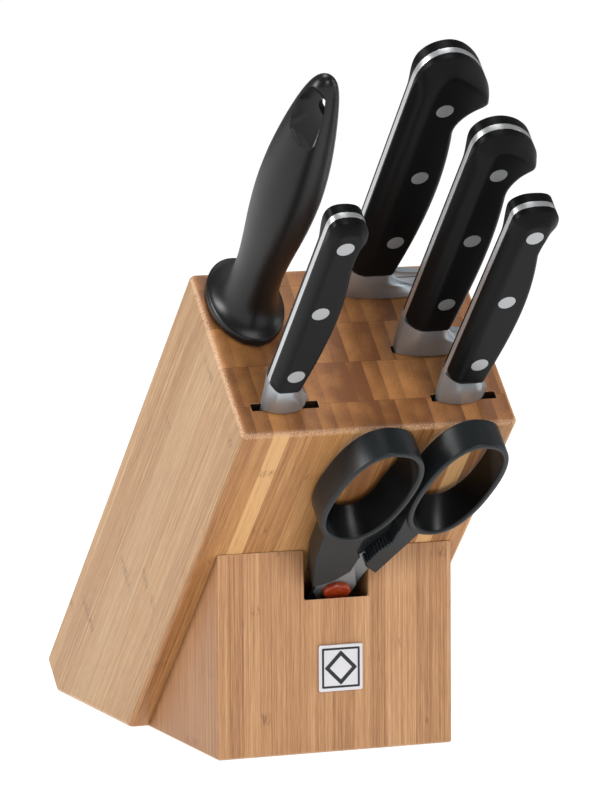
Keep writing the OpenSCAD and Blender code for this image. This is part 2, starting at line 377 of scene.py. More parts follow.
class Finish:
    """A material being put together from nodes, in the piece's own frame in millimetres."""

    def __init__(self, name, **sockets):
        self.material = bpy.data.materials.new(name)
        self.material.use_nodes = True
        self.tree = self.material.node_tree
        self.shader = self.tree.nodes["Principled BSDF"]
        for key, value in sockets.items():
            self.shader.inputs[key.replace("_", " ")].default_value = value
        coordinates = self.node("ShaderNodeTexCoord")
        self.place = self.vector("MULTIPLY", coordinates.outputs["Object"], (1 / MM,) * 3)
        self.normal = coordinates.outputs["Normal"]

    def node(self, kind, **settings):
        made = self.tree.nodes.new(kind)
        for key, value in settings.items():
            setattr(made, key, value)
        return made

    def put(self, socket, value):
        if isinstance(value, bpy.types.NodeSocket):
            self.tree.links.new(value, socket)
        else:
            socket.default_value = value

    def vector(self, operation, a, b=(0, 0, 0)):
        made = self.node("ShaderNodeVectorMath", operation=operation)
        self.put(made.inputs[0], a)
        self.put(made.inputs[1], b)
        return made.outputs[0]

    def math(self, operation, a, b=0.0, c=0.0):
        made = self.node("ShaderNodeMath", operation=operation)
        for socket, value in zip(made.inputs, (a, b, c)):
            self.put(socket, value)
        return made.outputs[0]

    def times(self, first, *factors):
        for factor in factors:
            first = self.math("MULTIPLY", first, factor)
        return first

    def plus(self, a, b):
        return self.math("ADD", a, b)

    def line(self, value, gain, start):
        return self.math("MULTIPLY_ADD", value, gain, start)

    def off_centre(self, value):
        return self.math("ABSOLUTE", self.math("SUBTRACT", value, 0.5))

    def stretched(self, x, y, z):
        return self.vector("MULTIPLY", self.place, (x, y, z))

    def split(self, vector):
        made = self.node("ShaderNodeSeparateXYZ")
        self.put(made.inputs[0], vector)
        return made.outputs[0], made.outputs[1], made.outputs[2]

    def join(self, x, y, z):
        made = self.node("ShaderNodeCombineXYZ")
        for socket, value in zip(made.inputs, (x, y, z)):
            self.put(socket, value)
        return made.outputs[0]

    def between(self, value, low, high, start=0.0, end=1.0):
        """start below low and end above high, with a smooth step from one to the other."""
        made = self.node("ShaderNodeMapRange", interpolation_type="SMOOTHSTEP")
        for key, wanted in (("Value", value), ("From Min", low), ("From Max", high),
                            ("To Min", start), ("To Max", end)):
            self.put(made.inputs[key], wanted)
        return made.outputs["Result"]

    def random(self, x, y):
        made = self.node("ShaderNodeTexWhiteNoise", noise_dimensions="2D")
        self.put(made.inputs["Vector"], self.join(x, y, 0.0))
        return made.outputs["Value"]

    def noise(self, vector, scale=1.0, detail=2.0, roughness=0.5):
        made = self.node("ShaderNodeTexNoise")
        self.put(made.inputs["Vector"], vector)
        for key, value in (("Scale", scale), ("Detail", detail), ("Roughness", roughness)):
            made.inputs[key].default_value = value
        return made.outputs["Fac"]

    def cells(self, vector, scale=1.0):
        made = self.node("ShaderNodeTexVoronoi")
        self.put(made.inputs["Vector"], vector)
        made.inputs["Scale"].default_value = scale
        return made.outputs["Distance"]

    def mix(self, share, a, b):
        made = self.node("ShaderNodeMix", data_type="RGBA")
        self.put(made.inputs["Factor"], share)
        for index, value in ((6, a), (7, b)):
            if isinstance(value, tuple):
                value = (*value[:3], 1.0)
            self.put(made.inputs[index], value)
        return made.outputs[2]

    def ramp(self, value, stops):
        made = self.node("ShaderNodeValToRGB")
        self.put(made.inputs["Fac"], value)
        elements = made.color_ramp.elements
        while len(elements) < len(stops):
            elements.new(0.5)
        for element, (place, colour) in zip(elements, stops):
            element.position = place
            element.color = (*colour, 1.0)
        return made.outputs["Color"]

    def colour(self, value):
        self.put(self.shader.inputs["Base Color"], value)

    def roughness(self, value):
        self.put(self.shader.inputs["Roughness"], value)

    def bump(self, height, strength, distance):
        made = self.node("ShaderNodeBump")
        made.inputs["Strength"].default_value = strength
        made.inputs["Distance"].default_value = distance * MM
        self.put(made.inputs["Height"], height)
        self.put(self.shader.inputs["Normal"], made.outputs["Normal"])


def bamboo(name, strip_x, strip_y, phase_y, light, middle, dark, end_light, end_dark, contrast,
           edge_tone, side_light_gain, slot_shade_limits):
    """Glued bamboo strips whose fibres run along the piece's own z."""
    f = Finish(name, Roughness=0.5)
    x, y, z = f.split(f.place)
    face_x, face_y, face_z = (f.math("ABSOLUTE", part) for part in f.split(f.normal))
    across_y = f.plus(f.math("DIVIDE", y, strip_y), phase_y)
    row = f.math("FLOOR", across_y)
    across_x = f.plus(f.math("DIVIDE", x, strip_x), f.random(row, 4.0))
    column = f.math("FLOOR", across_x)
    in_x = f.math("FRACT", across_x)
    in_y = f.math("FRACT", across_y)
    tone = f.random(column, row)
    other = f.random(f.plus(column, 31.0), f.plus(row, 17.0))

    # long fibres: three sizes of streak, each strip with its own
    away = f.times(other, 90.0)

    def fibres(across, along, **settings):
        return f.noise(f.join(f.times(x, across), f.times(y, across),
                              f.line(z, along, away)), **settings)

    fine = fibres(1.8, 0.02, detail=4, roughness=0.6)
    streak = f.plus(f.times(fibres(0.8, 0.006, detail=3), 0.3), f.times(fine, 0.42))
    streak = f.line(fibres(4.0, 0.12, detail=2), 0.28, streak)
    # wide faces differ less from strip to strip than the narrow ones
    wide_face = face_x if strip_x < strip_y else face_y
    step = f.times(f.math("SUBTRACT", tone, 0.5),
                   f.between(wide_face, 0.3, 0.8, contrast, contrast * 0.3))
    level = f.plus(step, f.times(f.math("SUBTRACT", streak, 0.5), 3.0))
    side = f.ramp(f.plus(level, 0.5), ((0.0, dark), (0.5, middle), (1.0, light)))

    # the knuckles of the cane: a short patch of dark flecks now and then along a strip
    along = f.math("FRACT", f.line(z, 1 / KNUCKLE_PITCH, f.times(other, 7.3)))
    knuckle = f.times(f.between(f.off_centre(along), 0.004, 0.024, 1.0, 0.0),
                      f.between(f.noise(f.stretched(0.3, 0.3, 0.02)), 0.4, 0.6))
    fleck = f.between(f.noise(f.stretched(2.0, 2.0, 0.35), detail=3), 0.42, 0.62)
    side = f.mix(f.times(knuckle, fleck, 0.75), side, shade(dark, 0.6))

    # end grain: dots of fibre bundles, closer together towards the cane's skin
    flat_place = f.stretched(1.0, 1.0, 0.02)
    skinward = f.between(in_x, 0.1, 1.0)
    coarse_dots = f.between(f.cells(flat_place, 1.25), 0.18, 0.42, 1.0, 0.0)
    fine_dots = f.between(f.cells(flat_place, 2.3), 0.15, 0.4, 1.0, 0.0)
    dots = f.plus(f.times(coarse_dots, 0.45), f.times(fine_dots, 0.75))
    dots = f.times(dots, f.line(skinward, 0.55, 0.45))
    patches = f.between(f.noise(f.stretched(0.12, 0.12, 0.02), detail=3), 0.35, 0.7)
    ground = f.plus(f.times(tone, 0.72), f.times(patches, 0.28))
    ground = f.math("SUBTRACT", ground, f.times(skinward, 0.25))
    end = f.mix(ground, end_dark, end_light)
    end = f.mix(f.times(dots, 0.75), end, shade(end_dark, 0.45))

    # glue lines between the strips
    line_x = f.between(f.off_centre(in_x), 0.5 - 0.16 / strip_x, 0.5)
    line_y = f.between(f.off_centre(in_y), 0.5 - 0.2 / strip_y, 0.5)
    lines = f.math("MAXIMUM", f.times(line_x, 0.55), f.times(line_y, 0.9))
    side = f.mix(f.times(lines, 0.35), side, shade(dark, 0.6))
    end = f.mix(f.times(lines, 0.75), end, shade(end_dark, 0.5))

    # painted light and shade: faces turned across x get their colour scaled per channel, a paler sheen
    # on the body's sides and shade on the plinth's sides
    side = f.mix(f.between(face_x, 0.3, 0.8), side, f.vector("MULTIPLY", side, side_light_gain))
    on_end = f.between(face_z, 0.55, 0.93)
    wood = f.mix(on_end, side, end)
    # sanded edges look paler and speckled
    edge = f.times(f.between(face_z, 0.12, 0.35), f.between(face_z, 0.8, 0.97, 1.0, 0.0))
    speckle = f.between(f.noise(f.place, scale=1.6, detail=3), 0.4, 0.62, 0.1, 0.8)
    wood = f.mix(f.times(edge, speckle), wood, edge_tone)
    # painted shade: the faces inside sawn slots and holes are darkened to near black, but for the lower
    # part of the piece
    half_width, front, back, top = slot_shade_limits
    lowest = top - SLOT_SHADE_REACH
    slot_shade = f.times(f.between(f.math("ABSOLUTE", x), half_width, half_width + 0.5, 1.0, 0.0),
                     f.between(y, front, front + 0.5),
                     f.between(y, back - 0.5, back, 1.0, 0.0),
                     f.between(z, top - 0.4, top - 0.1, 1.0, 0.0),
                     f.between(z, lowest, lowest + 2))
    wood = f.mix(f.times(slot_shade, 0.93), wood, (0.008, 0.005, 0.003))
    f.colour(wood)
    f.roughness(f.line(streak, 0.18, 0.4))
    relief = f.mix(on_end, f.join(fine, fine, fine), f.join(dots, dots, dots))
    f.bump(relief, 0.25, 0.12)
    return f.material


def brushed(name, colour, rough, brush, strength):
    """Satin steel with fine brush marks across the given direction, and slow cloudy change."""
    f = Finish(name, Metallic=0.8)
    marks = f.noise(f.stretched(*brush), detail=4, roughness=0.65)
    cloud = f.noise(f.stretched(0.06, 0.06, 0.05), detail=2)
    tone = f.plus(f.times(marks, 0.6), f.times(cloud, 0.4))
    f.colour(f.mix(f.between(tone, 0.3, 0.7), shade(colour, 0.86), colour))
    f.roughness(f.line(marks, 0.16, rough))
    f.bump(marks, strength, 0.03)
    return f.material


def moulded(name, colour, rough, grain, strength, worn=0.25, gloss=0.3, loop_shade_rings=()):
    """Moulded plastic with a fine grain and slightly uneven gloss."""
    f = Finish(name, Specular_IOR_Level=gloss)
    pebble = f.noise(f.place, scale=grain, detail=3, roughness=0.6)
    cloud = f.noise(f.place, scale=0.08, detail=2)
    pale = tuple(min(1, c * (1 + worn) + 0.002) for c in colour)
    tone = f.mix(f.between(pebble, 0.35, 0.7), colour, pale)
    for cx, cy, rx, ry in loop_shade_rings:
        # painted shade: the walls inside a finger loop are darkened to a tenth of the plastic's colour
        offset = f.vector("MULTIPLY", f.vector("SUBTRACT", f.place, (cx, 0, cy)), (1 / rx, 0, 1 / ry))
        across, _, up = f.split(offset)
        radius = f.math("SQRT", f.line(across, across, f.times(up, up)))
        tone = f.mix(f.between(radius, 1.0, 1.05, 1.0, 0.0), tone, shade(colour, 0.1))
    f.colour(tone)
    f.roughness(f.plus(f.times(cloud, 0.1), f.line(pebble, 0.12, rough)))
    f.bump(pebble, strength, 0.1)
    return f.material


def scale_plastic():
    """Polished black handle material with faint lengthwise polishing marks."""
    f = Finish("black_scale_polymer", Specular_IOR_Level=0.1)
    polish = f.noise(f.stretched(1.6, 1.6, 0.03), detail=4, roughness=0.6)
    speck = f.noise(f.place, scale=2.2, detail=3)
    f.colour(f.mix(f.between(speck, 0.4, 0.7), (0.002, 0.002, 0.0021), (0.0045, 0.0045, 0.0048)))
    f.roughness(f.line(polish, 0.16, 0.27))
    f.bump(f.plus(f.times(polish, 0.5), f.times(speck, 0.5)), 0.12, 0.04)
    return f.material


# half width, front, back and top of the space inside which a piece's cut faces get painted shade
BODY_SLOT_SHADE = (HALF_WIDTH - 2, 2, BODY_DEPTH - 2, BODY_LENGTH)
NOWHERE = (0, 900, 900, -900)
# the gains for faces turned across x are painted light: a paler sheen on the body's sides, shade on the
# plinth's sides
BODY_WOOD = bamboo("bamboo_body", strip_x=6.4, strip_y=18.7, phase_y=5.285,
                   light=(0.64, 0.365, 0.148), middle=(0.437, 0.203, 0.064),
                   dark=(0.236, 0.089, 0.022), end_light=(0.49, 0.212, 0.061),
                   end_dark=(0.18, 0.062, 0.016), contrast=1.0, edge_tone=(0.56, 0.34, 0.20),
                   side_light_gain=(0.78, 0.93, 1.27), slot_shade_limits=BODY_SLOT_SHADE)
PLINTH_WOOD = bamboo("bamboo_plinth", strip_x=6.4, strip_y=18.7, phase_y=0.3,
                     light=(0.66, 0.38, 0.19), middle=(0.468, 0.234, 0.10),
                     dark=(0.26, 0.105, 0.038), end_light=(0.40, 0.205, 0.09),
                     end_dark=(0.19, 0.082, 0.034), contrast=0.3, edge_tone=(0.55, 0.34, 0.19),
                     side_light_gain=(0.58, 0.53, 0.47), slot_shade_limits=NOWHERE)
DOWEL_WOOD = bamboo("dowel_beech", strip_x=9, strip_y=9, phase_y=0.5,
                    light=(0.62, 0.44, 0.27), middle=(0.55, 0.36, 0.20), dark=(0.45, 0.27, 0.14),
                    end_light=(0.5, 0.32, 0.17), end_dark=(0.35, 0.2, 0.1), contrast=0.3,
                    edge_tone=(0.6, 0.42, 0.25), side_light_gain=(1.0, 1.0, 1.0), slot_shade_limits=NOWHERE)
FORGED_STEEL = brushed("forged_steel", (0.56, 0.57, 0.58), 0.24, (9, 9, 0.5), 0.12)
BOLSTER_STEEL = brushed("bolster_satin_steel", (0.42, 0.465, 0.50), 0.3, (0.5, 3, 7), 0.3)
RIVET_STEEL = brushed("rivet_steel", (0.40, 0.41, 0.42), 0.36, (5, 5, 5), 0.06)
RIBBED_STEEL = brushed("ribbed_rod_steel", (0.5, 0.5, 0.51), 0.3, (6, 6, 0.15), 0.5)
SHEARS_STEEL = brushed("shears_satin_steel", (0.26, 0.29, 0.31), 0.28, (1.2, 1.2, 9), 0.12)
BADGE_METAL = brushed("badge_metal", (0.72, 0.71, 0.74), 0.25, (8, 8, 0.8), 0.06)
SCALE_BLACK = scale_plastic()
STEEL_BLACK = moulded("soft_black_plastic", (0.002, 0.002, 0.0021), 0.24, 1.7, 0.16, 0.25, 0.32)
# the finger loops listed here get painted shade on their inner walls
SHEARS_BLACK = moulded("grained_black_plastic", (0.0115, 0.0138, 0.015), 0.24, 2.4, 0.35, 0.35, 0.24,
                       [ring[:4] for ring in (LEFT_RING, RIGHT_RING)])
CAP_ORANGE = moulded("orange_plastic", (0.235, 0.026, 0.004), 0.15, 1.2, 0.05, 0.1, 0.4)
BADGE_INK = moulded("badge_enamel", (0.02, 0.02, 0.022), 0.3, 1.5, 0.05)


# ---- block ----

def body_outline():
    """Side view (q, s) of the leaning body, its foot cut level with the ground."""
    r = BODY_EDGE + 0.1
    return rounded([(0, 0, r), (HEEL_Q, -HEEL_Q, r), (BODY_DEPTH, -HEEL_Q, r),
                    (BODY_DEPTH, BODY_LENGTH, r), (0, BODY_LENGTH, r)], 6)


def flared_cutter(outline, depth):
    """Cutter that goes down from the top face, with an eased mouth."""
    def draw(bm):
        levels = ((BODY_LENGTH - depth, 0), (BODY_LENGTH - SLOT_FLARE, 0),
                  (BODY_LENGTH, -SLOT_FLARE), (BODY_LENGTH + 1, -SLOT_FLARE - 1))
        skin(bm, [[along_s(a, b, level) for a, b in inset(outline, cut)] for level, cut in levels])
    return mesh_of("cutter", draw)


def slot_outline(knife):
    left, right = knife.slot
    low, high = knife.q - SLOT_WIDTH / 2, knife.q + SLOT_WIDTH / 2
    return rounded([(left, low, 0.5), (right, low, 0.5), (right, high, 0.5), (left, high, 0.5)], 3)


def circle(x, y, radius):
    return [(x + radius * c, y + radius * s) for c, s in directions(40)]


def dowel_holes():
    low, high = DOWEL_ENDS
    return [mesh_of("hole", lambda bm: slab(bm, circle(x, DOWEL_HEIGHT, DOWEL_RADIUS + HOLE_PLAY),
                                            low - HOLE_SPARE, high + HOLE_SPARE)) for x in DOWELS]


def one_board(whole, name, low, high):
    """The part of the whole body between two depths."""
    bm = reopened(whole)
    for q, outward in ((low, -1), (high, 1)):
        if q in (0, BODY_DEPTH):
            continue
        everything = bm.verts[:] + bm.edges[:] + bm.faces[:]
        cut = bmesh.ops.bisect_plane(bm, geom=everything, plane_co=(0, q, 0),
                                     plane_no=(0, outward, 0), clear_outer=True)
        rim = [e for e in cut["geom_cut"] if isinstance(e, bmesh.types.BMEdge)]
        bmesh.ops.triangle_fill(bm, use_beauty=True, edges=rim)
    return finish_mesh(bm, name)


def make_body():
    solid = mesh_of("body", lambda bm: slab(bm, body_outline(), -HALF_WIDTH, HALF_WIDTH,
                                            along_x, BODY_EDGE, 6))
    cutters = [flared_cutter(slot_outline(k), k.blade + SLOT_SPARE) for k in KNIVES]
    cutters.append(flared_cutter(circle(STEEL_X, STEEL_Q, STEEL_BORE), ROD_LENGTH + SLOT_SPARE))
    whole = combined(solid, cutters + dowel_holes(), "DIFFERENCE")
    for name, low, high in zip(BOARDS, BOARD_ROWS, BOARD_ROWS[1:]):
        add_piece("bamboo_" + name, one_board(whole, name, low, high), LEAN, "block",
                  [name], BODY_WOOD)


def make_plinth():
    h = PLINTH_HEIGHT
    wedge = mesh_of("wedge", lambda bm: skin(bm, [[Vector((x, y, z)) for y, z in
                                                   ((0, 0), (-h, h), (-h, 0))]
                                                  for x in (PLINTH_LEFT, PLINTH_RIGHT)]))

    def box(bm, x0, x1, s0, s1):
        rings = [[along_s(x, q, s) for x, q in ((x0, -POCKET_DEPTH), (x1, -POCKET_DEPTH),
                                                (x1, POCKET_DEPTH), (x0, POCKET_DEPTH))]
                 for s in (s0, s1)]
        skin(bm, rings)

    channel = mesh_of("channel", lambda bm: box(bm, POCKET[0], POCKET[1], POCKET_FOOT, CHANNEL_TOP))
    room = mesh_of("room", lambda bm: box(bm, POCKET[0] - POINTS_ROOM[0], POCKET[0] + 1, POCKET_FOOT,
                                          POCKET_FOOT + POINTS_ROOM[1]))
    for tool in (channel, room):
        tool.transform(LEAN)
    cut = combined(wedge, [channel], "DIFFERENCE")
    softened = eased(cut, EASED_EDGE, 4, 30)
    holes = dowel_holes()
    for tool in holes:
        tool.transform(LEAN)
    # the hidden room for the points is cut after the easing, which would close its mouth
    drilled = combined(softened, [room] + holes, "DIFFERENCE")
    add_piece("bamboo_plinth_wedge", resharpened(drilled, "plinth"), Matrix.Identity(4), "block",
              ["plinth"], PLINTH_WOOD)
    pins = mesh_of("dowels", lambda bm: [slab(bm, circle(x, DOWEL_HEIGHT, DOWEL_RADIUS), *DOWEL_ENDS,
                                              rim=0.6) for x in DOWELS])
    add_piece("joining_dowels", pins, LEAN, "block", ["plinth_dowels"], DOWEL_WOOD)


def square(side, radius=0.0, turn=0.0):
    """Square outline about the origin, with rounded corners, turned by an angle in degrees."""
    h = side / 2
    spin = Matrix.Rotation(math.radians(turn), 2)
    return [tuple(spin @ Vector(p)) for p in
            rounded([(-h, -h, radius), (h, -h, radius), (h, h, radius), (-h, h, radius)], 4)]


def frame_ring(bm, outer, inner, low, high):
    """Flat ring between two outlines of the same number of points."""
    rim = 0.06
    rings = [(outer, low), (outer, high - rim), (inset(outer, rim), high),
             (inset(inner, -rim), high), (inner, high - rim), (inner, low)]
    rows = [[bm.verts.new(along_q(a, b, -level)) for a, b in outline] for outline, level in rings]
    for first, second in zip(rows, rows[1:] + rows[:1]):
        join(bm, first, second)


def make_badge():
    low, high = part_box("badge_plate")
    centre = Matrix.Translation(((low.x + high.x) / 2, high.y, (low.z + high.z) / 2))
    side = (high.x - low.x) / MM
    thick = (high.y - low.y) / MM

    def plate(bm):
        slab(bm, square(side, 0.8), -thick, 0.0, rim=0.3)

    def lines(bm):
        border, lozenge, wide = side - 2.6, side * 0.52, 0.8
        for outer, inner in ((square(border, 0.4), square(border - 2 * wide, 0.1)),
                             (square(lozenge, 0.3, 45), square(lozenge - 3.6 * wide, 0.1, 45))):
            frame_ring(bm, outer, inner, thick - 0.05, thick + 0.18)

    add_piece("badge_metal_plate", mesh_of("badge", plate), centre, "block",
              ["badge_plate"], BADGE_METAL)
    add_piece("badge_border_and_lozenge", mesh_of("badge_lines", lines), centre, "block",
              ["badge_inlay"], BADGE_INK)


# ---- knives ----

def spine_path(k):
    """Open path up the spine and round to the middle of the handle's end."""
    shoulder = k.top - (k.top - k.beak) * 0.6
    middle = (k.spine * 0.1, k.top)
    return ([(k.spine, k.base)]
            + bezier((k.spine, shoulder), (k.spine, k.top - 3), (middle[0] - 5, k.top), middle, 16)
            + [middle])


def belly_path(k):
    """Open path up the belly, round the hook and the beak, to the middle of the handle's end."""
    hook = k.beak - 13
    middle = (k.spine * 0.1, k.top)
    down = bezier(middle, (middle[0] + k.beak_x * 0.5, k.top), (k.beak_x, k.beak + 9),
                  (k.beak_x, k.beak), 14)
    down += bezier((k.beak_x, k.beak), (k.beak_x * 0.75, k.beak - 2), (k.hook, k.beak - 6),
                   (k.hook, hook), 10)
    down += bezier((k.hook, hook), (k.belly, hook - 22), (k.belly, k.base + 33),
                   (k.neck, k.base), 16)
    return [(k.neck, k.base)] + down[::-1]


def crown(distance, wall, reach, full, sharp=0.0):
    """Height of a scale's face at a distance in from its outline: rounded, or bevelled if sharp."""
    inward = min(distance / reach, 1)
    rounded_rise = 1 - (1 - inward) ** 2.2
    bevelled_rise = inward ** 0.85
    return wall + (full - wall) * (rounded_rise * (1 - sharp) + bevelled_rise * sharp)


def draw_scale(bm, k, side):
    """One handle scale, rounded along the spine and bevelled at its end; side is -1 in front."""
    rungs, columns, corner = 84, 26, 3.0
    left = evenly(spine_path(k), rungs)
    right = evenly(belly_path(k), rungs)

    def away(p, path):
        return min(distance_to(p, a, b) for a, b in zip(path, path[1:]))

    def level(p, t):
        butt = smooth_step(t, *BUTT_START)
        end_wall = BUTT_WALL + (BACK_WALL_MORE if side > 0 else 0)
        full = k.half - TANG_HALF
        spine_reach = k.reach + (BACK_REACH_MORE if side > 0 else 0)
        over_spine = crown(away(p, left), SPINE_WALL + (end_wall - SPINE_WALL) * butt,
                           spine_reach + (k.bevel - spine_reach) * butt, full, butt)
        over_belly = crown(away(p, right), end_wall, BELLY_REACH + (k.bevel - BELLY_REACH) * butt,
                           full, butt)
        return TANG_HALF + min(over_spine, over_belly)

    grid = []
    for r in range(rungs):
        t = r / rungs
        row = []
        for c in range(columns + 1):
            p = left[r].lerp(right[r], 0.5 - 0.5 * math.cos(math.pi * c / columns))
            # the lower corner on the spine side is rounded off
            over = max(0, 1 - (p.x - k.spine) / corner)
            lift = corner * (1 - math.sqrt(max(0, 1 - over * over))) * max(0, 1 - r / 7)
            row.append(Vector((p.x, p.y + lift)))
        grid.append((t, row))
    rows = []
    for t, row in grid:
        drop = 0.35 if t == 0 else 0
        rows.append([bm.verts.new(along_q(p.x, p.y, side * (level(p, t) - drop))) for p in row])
    tip = bm.verts.new(along_q(left[-1].x, left[-1].y, side * level(left[-1], 1)))
    for lower, upper in zip(rows, rows[1:]):
        for c in range(columns):
            bm.faces.new((lower[c], lower[c + 1], upper[c + 1], upper[c]))
    for c in range(columns):
        bm.faces.new((rows[-1][c], rows[-1][c + 1], tip))
    rim = rows[0] + [row[-1] for row in rows[1:]] + [tip] + [row[0] for row in rows[:0:-1]]
    foot = [bm.verts.new((v.co.x, side * TANG_HALF, v.co.z)) for v in rim]
    join(bm, rim, foot)
    bm.faces.new(foot)


def distance_to(p, a, b):
    """Distance from a point to a stretch between two points."""
    span = b - a
    t = min(1, max(0, (p - a).dot(span) / max(span.length_squared, 1e-9)))
    return (a + span * t - p).length


def draw_tang(bm, k):
    outline = [tuple(p) for p in evenly(spine_path(k), 70)]
    outline += [tuple(p) for p in evenly(belly_path(k), 84)[::-1][1:]]
    slab(bm, outline, -TANG_HALF, TANG_HALF, rim=0.22, steps=2)


def heel_line(k, y):
    """x of the right edge of the metal at a height: the neck, flowing out to the blade's heel."""
    first, drop = min(3.7, 0.45 * (k.heel - k.neck)), 3.2
    if y >= k.heel_top:
        return k.neck + first * max(0, k.base - y) / (k.base - k.heel_top)
    share = min(1, (k.heel_top - y) / drop)
    return k.neck + first + (k.heel - k.neck - first) * share ** 0.8


def crease_line(k, y):
    """x where the thick bolster ends: down from the neck, then out to the heel along the foot."""
    reach = k.edge - 1 - k.neck
    power = 1.6 + 0.1 * max(0, reach - 8)
    share = min(1, max(0, k.base - y) / (k.base - 0.5))
    return min(heel_line(k, y) - 0.3, k.neck - 0.1 + reach * share ** power)


def draw_bolster(bm, k):
    """Forged bolster: as thick as the handle at the top, a lens at the foot, thin at the heel."""
    lowest = 0.45
    steps = 44
    heights = [lowest + (k.base + 0.1 - lowest) * i / steps for i in range(steps + 1)]
    inner = 22
    fillet = ((0.25, 0.25), (0.5, 0.5), (0.95, 0.75))

    def thickness(x, y, left, crease):
        up = smooth_step(y, -2, k.base)
        full = k.foot + (k.half - 0.05 - k.foot) * up
        share = min(1, max(0, (x - left) / max(crease - left, 0.1)))
        lens = BLADE_HALF + (full - BLADE_HALF) * math.sin(math.pi * min(1, share * 0.97 + 0.03)) ** 0.6
        at_top = smooth_step(y, k.base * 0.35, k.base)
        spine_side = crown(x - left, SPINE_WALL, k.reach, full - TANG_HALF)
        neck_side = crown(crease - x + 0.3, SPINE_WALL + 2 * (1 - at_top), 1.3 + 2.7 * at_top,
                          full - TANG_HALF)
        top = TANG_HALF + min(spine_side, neck_side)
        return lens + (top - lens) * smooth_step(y, 1, k.base * 0.7)

    sides = {}
    for side in (-1, 1):
        rows = []
        for y in heights:
            left = k.spine + BLADE_STEP * (1 - y / k.base)
            crease, right = crease_line(k, y), heel_line(k, y)
            places = [left + (crease - left) * (0.5 - 0.5 * math.cos(math.pi * i / inner))
                      for i in range(inner + 1)]
            levels = [thickness(x, y, left, crease) for x in places]
            rim_level = levels[-1]
            wide = right - crease
            offsets = [min(reach, share * wide) for reach, share in fillet] + [wide]
            for offset in offsets:
                fall = max(0, 1 - offset / 0.9) ** 2
                places.append(crease + offset)
                levels.append(BLADE_HALF + max(0, rim_level - BLADE_HALF) * fall)
            rows.append([bm.verts.new(along_q(x, y, side * h)) for x, h in zip(places, levels)])
        for lower, upper in zip(rows, rows[1:]):
            for i in range(len(lower) - 1):
                bm.faces.new((lower[i], lower[i + 1], upper[i + 1], upper[i]))
        sides[side] = rows
    front, back = (rows[0] + [row[-1] for row in rows[1:]] + rows[-1][-2::-1]
                   + [row[0] for row in rows[-2:0:-1]] for rows in (sides[-1], sides[1]))
    join(bm, front, back)


def draw_blade(bm, k):
    """Blade with a straight spine, a flat-ground section and a fine edge, curving up to the point."""
    spine = k.spine + BLADE_STEP
    long = k.blade
    belly = [(k.heel, 0.45)] + bezier((k.edge, -4), (k.edge, -0.55 * long),
                                     (spine + 0.86 * k.height, -0.82 * long),
                                     (spine + 0.8, -long), 24)
    belly = evenly(belly + [(spine + 0.8, -long)], 40)
    rings = []
    for i, p in enumerate(belly):
        share = i / 40
        back = Vector((spine + 0.8 * share ** 6, p.y))
        wide = max(p.x - back.x, 0.12)
        thick = BLADE_HALF * (1 - 0.55 * share)
        section = ((0.0, 0.8), (0.12 / 2, 1.0), (0.55, 0.86), (0.93, 0.32), (1.0, 0.05))
        ring = [along_q(back.x + wide * a, p.y, -thick * b) for a, b in section]
        ring += [along_q(back.x + wide * a, p.y, thick * b) for a, b in reversed(section)]
        rings.append(ring)
    skin(bm, rings)


def draw_rivets(bm, k):
    """Rivets through both scales, with softly turned rims."""
    top = k.half + 0.04
    profile = [(0, -top), (RIVET_RADIUS - 0.5, -top), (RIVET_RADIUS - 0.18, -top + 0.05),
               (RIVET_RADIUS, -top + 0.3), (RIVET_RADIUS, top - 0.3),
               (RIVET_RADIUS - 0.18, top - 0.05), (RIVET_RADIUS - 0.5, top), (0, top)]
    for y in k.rivets:
        start = len(bm.verts)
        lathe(bm, profile)
        bm.verts.ensure_lookup_table()
        bmesh.ops.translate(bm, verts=bm.verts[start:], vec=(0, 0, y))


def make_knife(k):
    body = k.name + "_knife"

    def add(part, draw, sharp, nodes, material, weighted=True):
        add_piece(f"{body}_{part}", mesh_of(part, draw, sharp), k.place, body, nodes, material,
                  weighted)

    add("blade", lambda bm: draw_blade(bm, k), 50, [k.name + "_blade"], FORGED_STEEL,
        weighted=False)
    add("bolster", lambda bm: draw_bolster(bm, k), 60, [], BOLSTER_STEEL,
        weighted=False)
    add("tang", lambda bm: draw_tang(bm, k), 38, [], FORGED_STEEL)
    for side, word in ((-1, "front"), (1, "back")):
        add(word + "_scale", lambda bm: draw_scale(bm, k, side), 42,
            [f"{k.name}_{word}_scale"], SCALE_BLACK)
    add("rivets", lambda bm: draw_rivets(bm, k), 38, [k.name + "_rivets"], RIVET_STEEL)


# ---- sharpening steel ----

STEEL_PLACE = LEAN @ Matrix.Translation(Vector((STEEL_X, STEEL_Q, BODY_LENGTH)) * MM)
# height, radius across, radius in depth, of the grip's sections
GRIP = ((0.4, 13.6, 19.2), (0.9, 14.4, 20.1), (1.6, 14.6, 20.3), (3.9, 14.6, 20.3), (4.5, 14.3, 19.9),
        (4.9, 13.7, 19.1), (5.6, 12.9, 17.4), (7.2, 11.8, 15.1), (9.5, 10.8, 13.0), (13, 10.0, 11.3),
        (18, 9.4, 10.0), (24, 9.2, 9.4), (30, 9.5, 9.5), (37, 10.1, 10.1), (45, 11.0, 11.0),
        (53, 11.8, 11.8), (61, 12.3, 12.3), (69, 12.6, 12.6), (77, 12.4, 12.4), (85, 12.0, 12.0),
        (93, 11.2, 11.2), (101, 10.2, 10.2), (109, 9.0, 9.0), (116, 7.7, 7.7), (121, 6.5, 6.6),
        (125, 5.2, 5.3), (127.5, 3.8, 3.9), (129.0, 2.1, 2.2), (129.5, 0.9, 1.0))
EYE_TURN = 28


def draw_grip(bm):
    rings = []
    for height, wide, deep in GRIP:
        at_guard = 1 - smooth_step(height, 3, 22)
        middle = -2.2 * smooth_step(height, 40, STEEL_TOP) + 0.6 * at_guard
        rings.append([along_s(middle + wide * c, 2.4 * at_guard + deep * s, height)
                      for c, s in directions(64)])
    skin(bm, rings)


